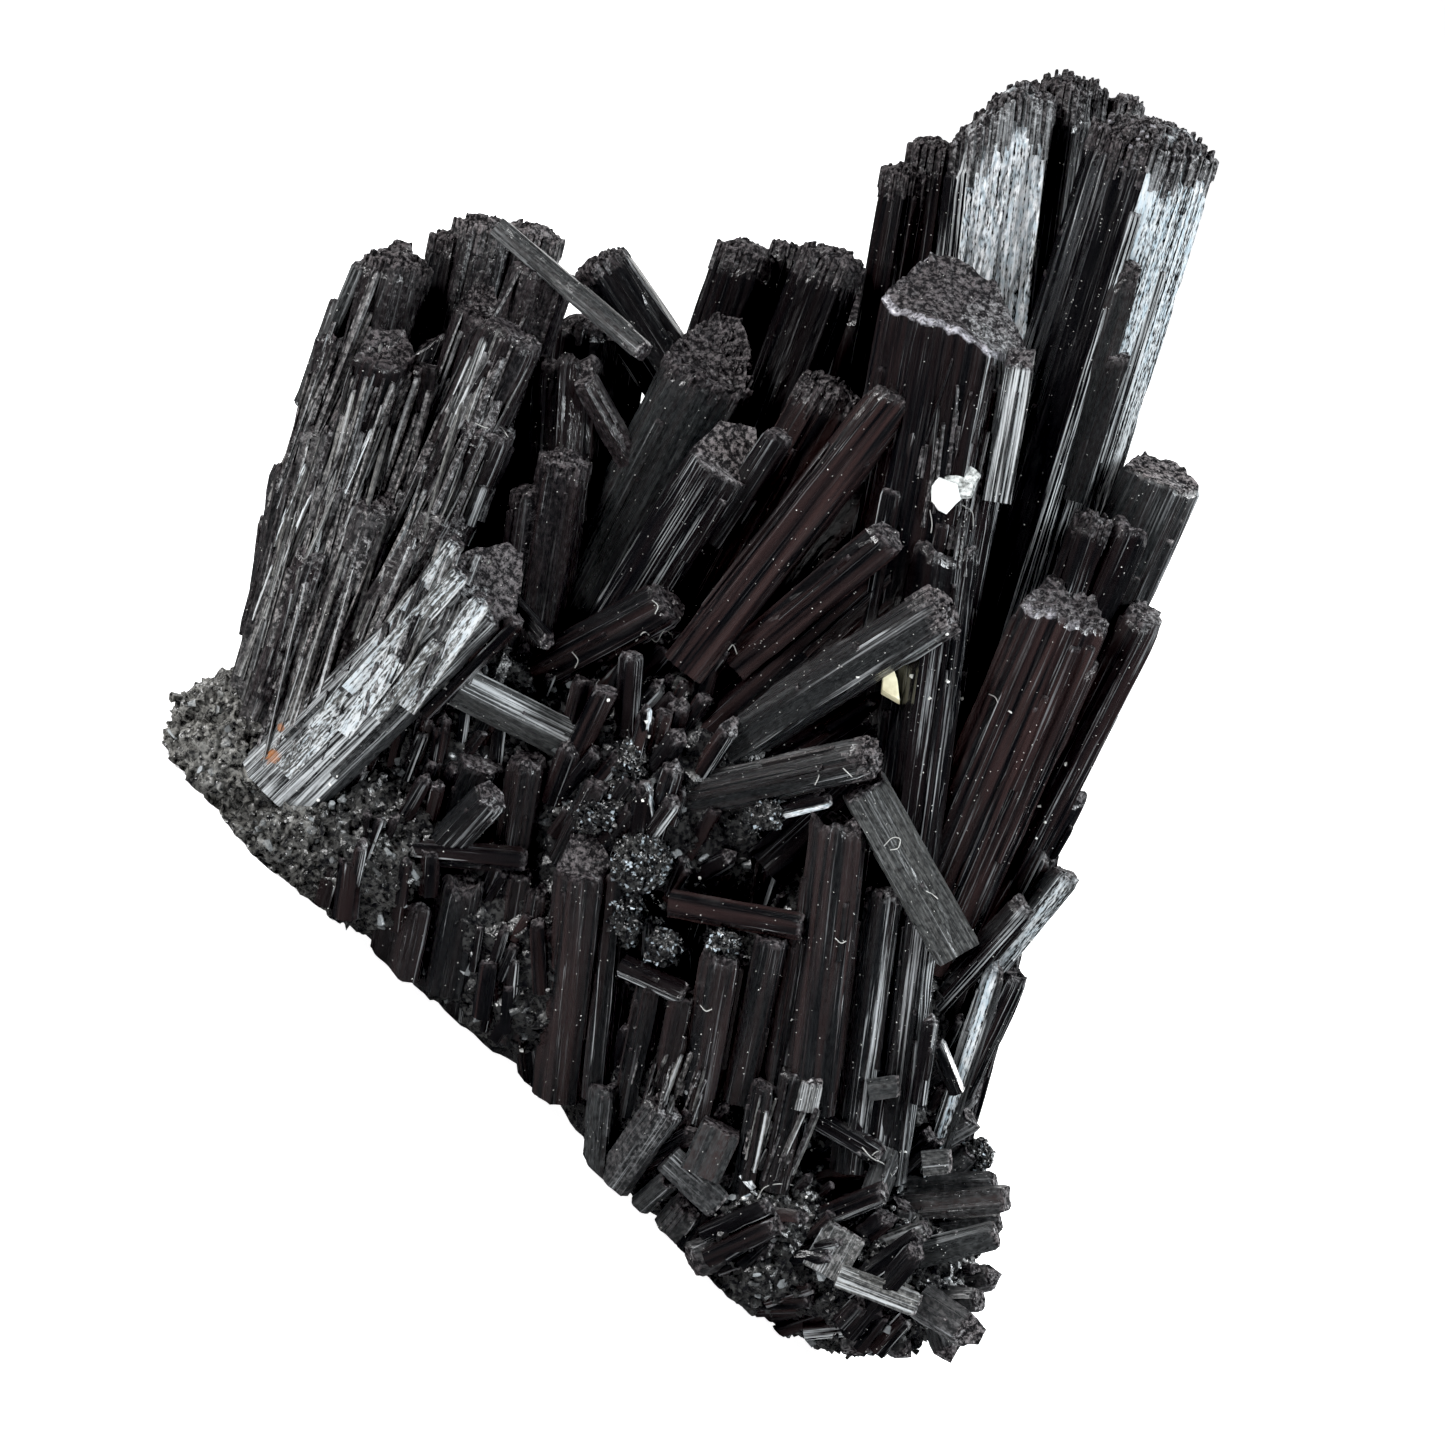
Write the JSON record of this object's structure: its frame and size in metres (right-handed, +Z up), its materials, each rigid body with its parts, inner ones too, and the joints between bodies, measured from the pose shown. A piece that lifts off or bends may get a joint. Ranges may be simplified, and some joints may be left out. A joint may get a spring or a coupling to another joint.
{
  "type": "schorl crystal cluster",
  "caption": "Fan of striated black tourmaline prisms grown from a granular root, broken flat at the base so that it stands by itself.",
  "frame": {"origin": "on the resting plane, under the middle of the cluster's outline", "axes": "+Z up from the flat break of the root; +X along the broad side, from the granular lobe to the jumbled corner; +Y towards the far side"},
  "size_m": [0.0768, 0.031, 0.073],
  "materials": {
    "schorl": "near black, striated along the prisms, silvery on the ridges, rough and granular at the root",
    "mica": "white, pearly",
    "feldspar": "cream, dull"
  },
  "bodies": {
    "root": {"crystal_cluster": "schorl", "mica_flake": "mica", "feldspar_chip": "feldspar"}
  },
  "joints": []
}
